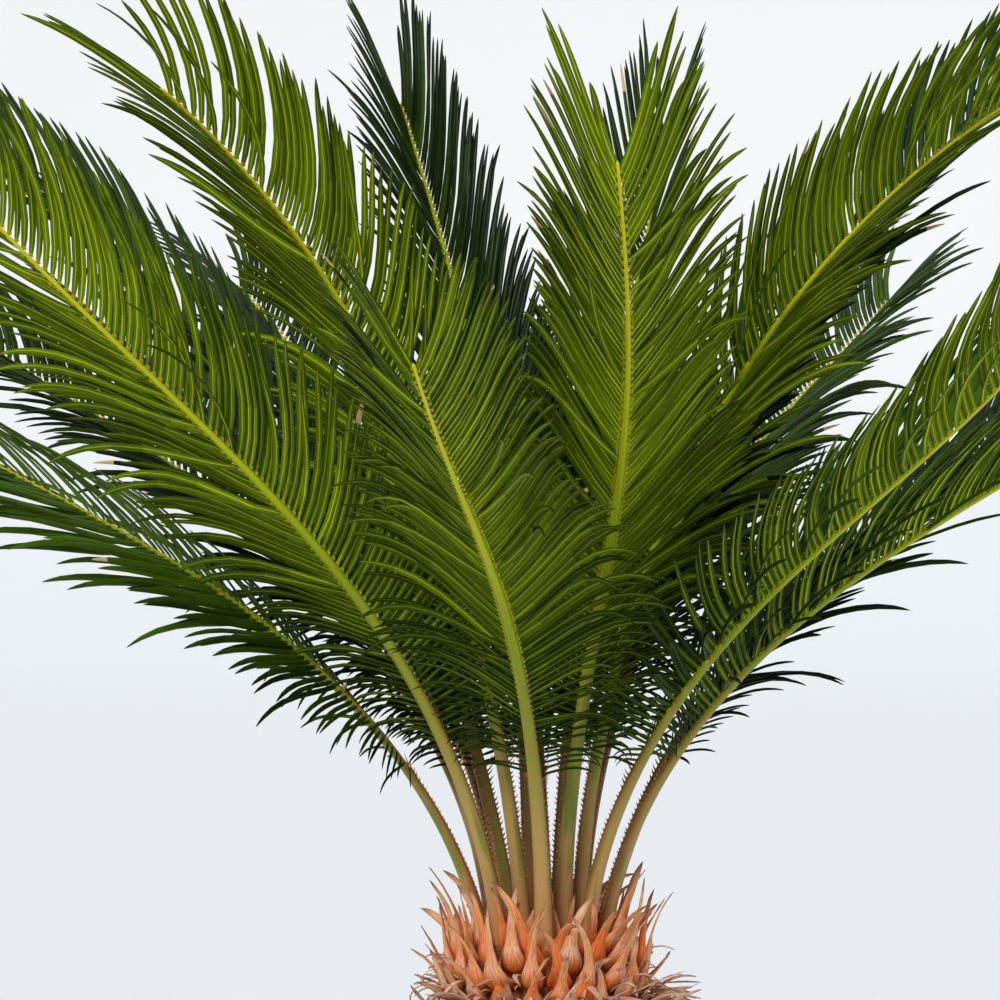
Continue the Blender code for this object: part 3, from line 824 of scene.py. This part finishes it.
def make_core(material, rng):
    """The trunk under its cladding: fibrous and uneven, flat below, a low dome on top."""
    heights = np.linspace(0.0, TRUNK_HEIGHT, CORE_ROWS)
    angle = np.arange(CORE_COLUMNS) * 2 * math.pi / CORE_COLUMNS
    radius = np.repeat(core_radius(heights)[:, None], CORE_COLUMNS, axis=1)
    for _ in range(CORE_WAVES):
        around, climb = rng.integers(*CORE_WAVES_ROUND), rng.uniform(*CORE_WAVES_CLIMB)
        wave = np.cos(around * angle + climb * heights[:, None] + rng.uniform(*WAVE_STARTS))
        radius = radius + CORE_WAVE_DEPTH * wave
    inward = np.linspace(1.0, 0.0, DOME_RINGS)[1:-1]
    radii = np.concatenate([radius, radius[-1] * inward[:, None]])
    dome = TRUNK_HEIGHT + DOME_HEIGHT * (1 - inward**2)
    levels = np.concatenate([heights, dome])[:, None] + np.zeros(CORE_COLUMNS)
    levels[CORE_ROWS:] += rng.normal(0, DOME_UNEVEN, levels[CORE_ROWS:].shape)
    points = round_axis(radii, levels, CORE_COLUMNS, TRUNK_HEIGHT + DOME_HEIGHT)
    faces = [face[::-1] for face in body_faces(1, len(radii), CORE_COLUMNS)]
    shade = rng.random(len(points))
    values = {"local": points, "along": points[:, 2] / TRUNK_HEIGHT, "shade": shade}
    dress_trunk(make_piece("trunk_core", points, faces, [material], values=values))


def husk_values(lengths, halves, outline, rng):
    """Named numbers for a husk's material: place along, shade, and a place for the fibres."""
    count, section, place = len(lengths), np.array(HUSK_SECTION), np.array(outline)[:, 0]
    along = np.tile(np.append(np.repeat(place, len(section)), 1.0), (count, 1))
    shade = np.repeat(rng.random(count)[:, None], along.shape[1], axis=1)
    ring = np.vstack([np.tile(section, (len(place), 1)), np.zeros(2)])
    grain = ring * halves[:, None, None]
    shifted = grain[..., 0] + rng.uniform(*FIBRE_SHIFTS, (count, 1))
    depth = grain[..., 1] * FIBRE_FLATTENED
    local = np.stack([shifted, depth, along * lengths[:, None]], axis=-1)
    return {"along": along, "shade": shade, "local": local}


def make_husks(name, root, first, across, bends, sizes, outline, material, uneven_by, rng):
    """A piece of bodies that stand out of the trunk, each with its own ridges, dents and roll."""
    roll, ragged, rough = uneven_by
    count, corners = len(root), len(HUSK_SECTION)
    roll = np.radians(rng.normal(0, roll, count))
    section = np.array(HUSK_SECTION) * (1 + rng.normal(0, ragged, (count, corners, 1)))
    points = bent_bodies(root, first, across, bends, sizes, outline, section, roll)
    points = points + rng.normal(0, rough, points.shape)
    points[..., 2] = np.maximum(points[..., 2], 0.0)
    values = husk_values(*sizes[:2], outline, rng)
    faces = body_faces(count, len(outline), corners)
    dress_trunk(make_piece(name, points, faces, [material], values=values))


def standing(angle, lean, stray, rng):
    """Ways round the trunk: out at a lean from upright, across and over that, level and aside."""
    radial = np.stack([np.cos(angle), np.sin(angle), np.zeros_like(angle)], axis=-1)
    sideways = np.stack([-np.sin(angle), np.cos(angle), np.zeros_like(angle)], axis=-1)
    sine, cosine = np.sin(lean)[:, None], np.cos(lean)[:, None]
    first = radial * sine + UPRIGHT * cosine
    first = unit(first + sideways * rng.normal(0, stray, (len(angle), 1)))
    over = radial * cosine - UPRIGHT * sine
    across = square_to(sideways, first)
    across = across * np.sign(dot(np.cross(first, across), radial))
    return first, across, over, radial, sideways


def make_cladding(name, outline, course, kind, material, rng):
    """Bodies that stand out of the trunk in a spiral, from the foot of their range to its top."""
    (count, low, high, reach, lean, bend, length, half, thick, differ, ragged,
     leaning, rolling, straying, swerving) = kind

    def differing(size, limits):
        return size * (1 + rng.normal(0, differ, count)).clip(*limits)

    order = np.arange(count)
    angle = order * GOLDEN_ANGLE + rng.normal(0, CLADDING_UNEVEN[0], count)
    height = blend((low, high), (order + 0.5) / count) + rng.normal(0, CLADDING_UNEVEN[1], count)
    lean = np.radians(lean + rng.normal(0, leaning, count))
    first, across, over, radial, sideways = standing(angle, lean, straying, rng)
    root = radial * (core_radius(height) + reach)[:, None]
    root[:, 2] = height
    over = unit(over + sideways * rng.normal(0, swerving, (count, 1)))
    sizes = (
        differing(length, SIZE_LIMITS), differing(half, SIZE_LIMITS), differing(thick, DEPTH_LIMITS)
    )
    bend = np.radians(bend * (1 + rng.normal(0, differ * 2.0, count)))
    make_husks(
        name, root, first, across, ((square_to(over, first), bend, course),), sizes, outline,
        material, (rolling, ragged, thick * ragged), rng,
    )


def heart_scales(ribs, rng):
    """Smaller scale leaves that fill the room among the feet of the stalks."""
    feet = np.array([rib.points[0][:2] for rib in ribs.values()])
    spots, leaves = [], []
    for _ in range(HEART_TRIES):
        radius = HEART_RADIUS * math.sqrt(rng.random())
        angle = rng.uniform(0.0, 2 * math.pi)
        spot = np.array([radius * math.cos(angle), radius * math.sin(angle)])
        if np.linalg.norm(feet - spot, axis=1).min() < HEART_ROOM[0]:
            continue
        if spots and np.linalg.norm(np.array(spots) - spot, axis=1).min() < HEART_ROOM[1]:
            continue
        spots.append(spot)
        lean = blend(HEART_LEANS, radius / HEART_RADIUS)
        leaves.append((angle, HEART_HEIGHT, radius, HEART_LENGTH, lean, HEART_RISE, HEART_SIZE))
    return leaves


def make_scales(ribs, material, rng):
    """The fresh scale leaves, bulbous below with a thin curved blade: rows, then the heart."""
    leaves = []
    for number, (height, radius, count, length, lean, rise) in enumerate(SCALE_ROWS):
        for k in range(count):
            angle = (k + 0.5 * (number % 2)) * 2 * math.pi / count
            leaves.append((angle, height, radius, length, lean, rise, 1.0))
    leaves += heart_scales(ribs, rng)
    angle, height, radius, length, lean, rise, size = np.array(leaves).T
    count = len(leaves)
    round_by, out_by, up_by = SCALE_PLACE_UNEVEN
    lean_by, rise_by, roll_by = SCALE_TURN_UNEVEN
    angle = angle + rng.normal(0, round_by, count)
    length = length * rng.uniform(*SCALE_LENGTHS, count)
    size = size * rng.uniform(*SCALE_SIZES, count)
    lean = np.radians(lean + rng.normal(0, lean_by, count))
    rise = np.radians(rise + rng.normal(0, rise_by, count))
    first, across, over, radial, sideways = standing(angle, lean, SCALE_STRAY, rng)
    root = radial * (radius + rng.normal(0, out_by, count))[:, None]
    root[:, 2] = height + rng.normal(0, up_by, count)
    over = square_to(over, first)
    unevenly = np.radians(rng.normal(0, 1.0, (2, count)) * np.array(BLADE_UNEVEN)[:, None])
    bends = (
        (over, -rise, NECK_COURSE),
        (over, math.radians(BLADE_OUTWARD) + unevenly[0], BLADE_COURSE),
        (sideways, unevenly[1], BLADE_COURSE),
    )
    make_husks(
        "fresh_scales", root, first, across, bends,
        (length, SCALE_HALF_WIDTH * size, SCALE_HALF_DEPTH * size), SCALE_OUTLINE,
        material, (roll_by, SCALE_RAGGED, SCALE_ROUGH), rng,
    )


def make_trunk(ribs):
    rng = np.random.default_rng(SEED + 100)
    skins = {name: husk_material(name, *look) for name, look in HUSK_LOOKS.items()}
    # the core's skin is its bark darkened as painted shade for the gaps that show it
    make_core(skins["trunk_bark_and_shade"], rng)
    for name, (skin, outline, course, *kind) in CLADDING.items():
        make_cladding(name, outline, course, kind, skins[skin], rng)
    make_scales(ribs, skins["fresh_scale"], rng)


# Materials


class Skin:
    """A material, built up from its shader's own values and the nodes that lead to it."""

    def __init__(self, name, colour, roughness, gloss=0.5):
        self.material = bpy.data.materials.new(name)
        self.material.use_nodes = True
        self.nodes = self.material.node_tree.nodes
        self.links = self.material.node_tree.links
        self.shader = self.nodes["Principled BSDF"]
        self.shader.inputs["Base Color"].default_value = linear(colour)
        self.shader.inputs["Roughness"].default_value = roughness
        self.shader.inputs["Specular IOR Level"].default_value = gloss

    def node(self, kind, output, inputs, **settings):
        """An output of a new node whose inputs are plain values or other nodes' outputs."""
        made = self.nodes.new(f"ShaderNode{kind}")
        for key, value in settings.items():
            setattr(made, key, value)
        for key, value in inputs.items():
            if isinstance(value, bpy.types.NodeSocket):
                self.links.new(value, made.inputs[key])
            else:
                made.inputs[key].default_value = value
        return made.outputs[output]

    def value(self, name, output="Fac"):
        """A named number of the mesh's points, or a named place of them as a vector."""
        return self.node("Attribute", output, {}, attribute_name=name)

    def noise(self, scale, detail, source=None, stretch=None):
        """Noise over the object's own coordinates, or over a named place of its points."""
        if source:
            place = self.value(source, "Vector")
        else:
            place = self.node("TexCoord", "Object", {})
        if stretch:
            place = self.node("Mapping", "Vector", {"Vector": place, "Scale": stretch})
        return self.node("TexNoise", "Fac", {"Vector": place, "Scale": scale, "Detail": detail})

    def spread(self, amount, start, end):
        """The amount taken from one range to another, and kept inside it."""
        ends = {"From Min": start[0], "From Max": start[1], "To Min": end[0], "To Max": end[1]}
        return self.node("MapRange", "Result", {"Value": amount, **ends})

    def product(self, *factors):
        result = factors[0]
        for factor in factors[1:]:
            result = self.node("Math", "Value", {0: result, 1: factor}, operation="MULTIPLY")
        return result

    def mix(self, amount, first, second):
        inputs = {"Factor": amount, "A": first, "B": second}
        return self.node("Mix", "Result", inputs, data_type="RGBA")

    def ramp(self, amount, stops):
        """A colour ramp of (place, colour) stops."""
        output = self.node("ValToRGB", "Color", {"Fac": amount})
        elements = output.node.color_ramp.elements
        while len(elements) < len(stops):
            elements.new(0.5)
        for element, (place, colour) in zip(elements, stops):
            element.position = place
            element.color = linear(colour)
        return output

    def colour(self, output):
        self.links.new(output, self.shader.inputs["Base Color"])

    def roughness(self, amount, low, high):
        amount = self.spread(amount, (0.0, 1.0), (low, high))
        self.links.new(amount, self.shader.inputs["Roughness"])

    def bump(self, height, distance, strength):
        inputs = {"Height": height, "Distance": distance, "Strength": strength}
        self.links.new(self.node("Bump", "Normal", inputs), self.shader.inputs["Normal"])


def leaf_material(name, colour, roughness, gloss):
    """A leathery leaf surface in one green, with patches of gloss and fine unevenness."""
    skin = Skin(name, colour, roughness, gloss)
    noise = skin.noise(260.0, 2.0)
    skin.roughness(noise, roughness - 0.07, roughness + 0.09)
    skin.bump(noise, 0.0003, 0.35)
    return skin.material


def leaflet_materials():
    """The slots: top, underside and midrib by tone, whose darker steps also stand for painted shade,
    then the leaflet's foot and a dried end.
    """
    made = []
    for kind, (bright, dark, roughness, gloss) in LEAF_LOOKS.items():
        for tone_and_shade in range(TONES):
            colour = [blend(ends, tone_and_shade / (TONES - 1)) for ends in zip(bright, dark)]
            made.append(leaf_material(f"leaflet_{kind}_{tone_and_shade}", colour, roughness, gloss))
    for kind, look in LEAF_END_LOOKS.items():
        made.append(leaf_material(f"leaflet_{kind}", *look))
    return made


def rib_material(name, stops, edge_stops):
    """A stalk: colours along it, browner along its spined edges, with fine streaks."""
    skin = Skin(name, stops[0][1], 0.42, 0.25)
    streaks = skin.noise(220.0, 3.0, "local", (1.0, 1.0, 0.08))
    patches = skin.noise(14.0, 2.0, "local", (4.0, 4.0, 0.6))
    along = skin.value("along")
    # green patches, but not at the foot
    share = skin.product(
        skin.spread(patches, PATCH_NOISE, (0.0, 1.0)),
        skin.spread(along, PATCHES_BEGIN, (0.0, PATCHES_MOST)),
        skin.spread(along, PATCHES_END, (1.0, 0.0)),
    )
    colour = skin.mix(share, skin.ramp(along, stops), skin.ramp(streaks, PATCH_COLOURS))
    # brown spined edges up to the blade
    share = skin.product(
        skin.value("edge"),
        skin.spread(streaks, (0.0, 1.0), EDGE_SHARES),
        skin.spread(along, EDGES_FADE, (1.0, 0.0)),
    )
    skin.colour(skin.mix(share, colour, skin.ramp(along, edge_stops)))
    skin.roughness(streaks, 0.34, 0.52)
    skin.bump(streaks, 0.0006, 0.5)
    return skin.material


def husk_material(name, light, dark, deep, roughness):
    """A dry, fibrous skin: colours along each body, two shades of it, and streaks of fibre."""
    skin = Skin(name, light[0][1], roughness, 0.2)
    fibre = skin.noise(900.0, 3.0, "local", (1.0, 1.0, 0.10))
    blotch = skin.noise(90.0, 2.0, "local")
    place = skin.value("along")
    base = skin.mix(skin.value("shade"), skin.ramp(place, light), skin.ramp(place, dark))
    cracks = skin.spread(fibre, CRACK_NOISE, (0.0, CRACKS_MOST))
    skin.colour(skin.mix(cracks, base, linear(deep)))
    skin.roughness(blotch, roughness - 0.1, roughness + 0.08)
    skin.bump(fibre, 0.0011, 0.6)
    return skin.material


def spine_material():
    skin = Skin("stalk_spine", SPINE_COLOURS[1][1], 0.6)
    patches = skin.noise(400.0, 2.0)
    skin.colour(skin.ramp(patches, SPINE_COLOURS))
    skin.bump(patches, 0.0004, 0.4)
    return skin.material


# Stage, light and camera


def stage_material():
    """Pale paper, in colours by the distance over the floor and up the curve."""
    skin = Skin("stage_paper", STAGE_COLOURS[0][1], 0.9, 0.0)
    skin.roughness(skin.noise(3.0, 2.0), *STAGE_ROUGHNESS)
    last = STAGE_COLOURS[-1][0]
    share = skin.spread(skin.value("course"), (0.0, last), (0.0, 1.0))
    skin.colour(skin.ramp(share, [(course / last, colour) for course, colour in STAGE_COLOURS]))
    return skin.material


def make_stage():
    """A round pale floor that curves up into a wall, far off on every side."""
    quarter = np.linspace(0.0, math.pi / 2, SWEEP_STEPS)
    far = FLOOR_RADIUS + SWEEP_RADIUS
    radii = np.array([0.0, *FLOOR_RINGS, *(FLOOR_RADIUS + SWEEP_RADIUS * np.sin(quarter)), far])
    flat = [0.0] * (1 + len(FLOOR_RINGS))
    heights = np.array([*flat, *(SWEEP_RADIUS * (1 - np.cos(quarter))), WALL_HEIGHT])
    course = np.cumsum(np.hypot(np.diff(radii, prepend=0.0), np.diff(heights, prepend=0.0)))
    # rings from the wall's top inward, then the middle, and no face across the top
    points = round_axis(radii[:0:-1, None], heights[:0:-1, None], STAGE_COLUMNS, 0.0)
    faces = body_faces(1, len(radii) - 1, STAGE_COLUMNS)[:-1]
    values = {"course": np.append(np.repeat(course[:0:-1], STAGE_COLUMNS), 0.0)}
    floor = make_piece("stage_floor", points, faces, [stage_material()], values=values)
    floor.visible_shadow = False


def make_lights():
    world = bpy.data.worlds.new("soft_sky")
    bpy.context.scene.world = world
    world.use_nodes = True
    sky = world.node_tree.nodes["Background"]
    sky.inputs["Color"].default_value = linear(SKY_COLOUR)
    sky.inputs["Strength"].default_value = SKY_STRENGTH
    for name, (heading, height, strength, spread) in LAMPS.items():
        data = bpy.data.lights.new(f"light_{name}", "SUN")
        data.energy = strength
        data.angle = math.radians(spread)
        lamp = add_object(f"light_{name}", data)
        lamp.rotation_euler = (0.0, math.radians(90.0 - height), math.radians(heading))


def make_camera():
    data = bpy.data.cameras.new("camera")
    data.sensor_width = SENSOR
    data.lens = SENSOR * CAMERA_DISTANCE / (PICTURE * METRES_PER_PIXEL)
    data.clip_end = SIGHT
    camera = add_object("camera", data)
    middle = PICTURE / 2
    height = TRUNK_HEIGHT + (TRUNK_TOP_ROW - middle) * METRES_PER_PIXEL
    camera.location = ((middle - AXIS_COLUMN) * METRES_PER_PIXEL, -CAMERA_DISTANCE, height)
    camera.rotation_euler = (math.radians(90.0), 0.0, 0.0)
    bpy.context.scene.camera = camera


def make_fronds():
    ribs = {name: Rib(*sizes[:6], STIFFER.get(name, 1.0)) for name, sizes in FRONDS.items()}
    samples = np.linspace(0.0, 1.0, RIB_SAMPLES)
    leaf_skins = leaflet_materials()
    rib_skins = {name: rib_material(name, *look) for name, look in RIB_LOOKS.items()}
    for number, (name, rib) in enumerate(ribs.items()):
        rng = np.random.default_rng(SEED + number)
        others = [other for other in ribs.values() if other is not rib]
        centres = np.concatenate([other.at(samples) for other in others]).astype(np.float32)
        radii = np.concatenate([other.width(samples) / 2 for other in others]).astype(np.float32)
        # the frond's tone: partly its own green and partly painted shade
        tone_and_shade = FRONDS[name][6]
        make_leaflets(name, rib, tone_and_shade, leaf_skins, (centres, radii), rng)
        skin = rib_skins["rib_yellow" if tone_and_shade < YELLOW_BELOW else "rib_green"]
        make_rib(name, rib, skin, GRAIN_SHIFT * number)
    make_spines(ribs, spine_material(), np.random.default_rng(SEED + 50))
    return ribs


def main():
    bpy.context.scene.view_settings.view_transform = "Standard"
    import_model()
    make_stage()
    make_lights()
    make_camera()
    make_trunk(make_fronds())
    bpy.context.view_layer.update()


main()
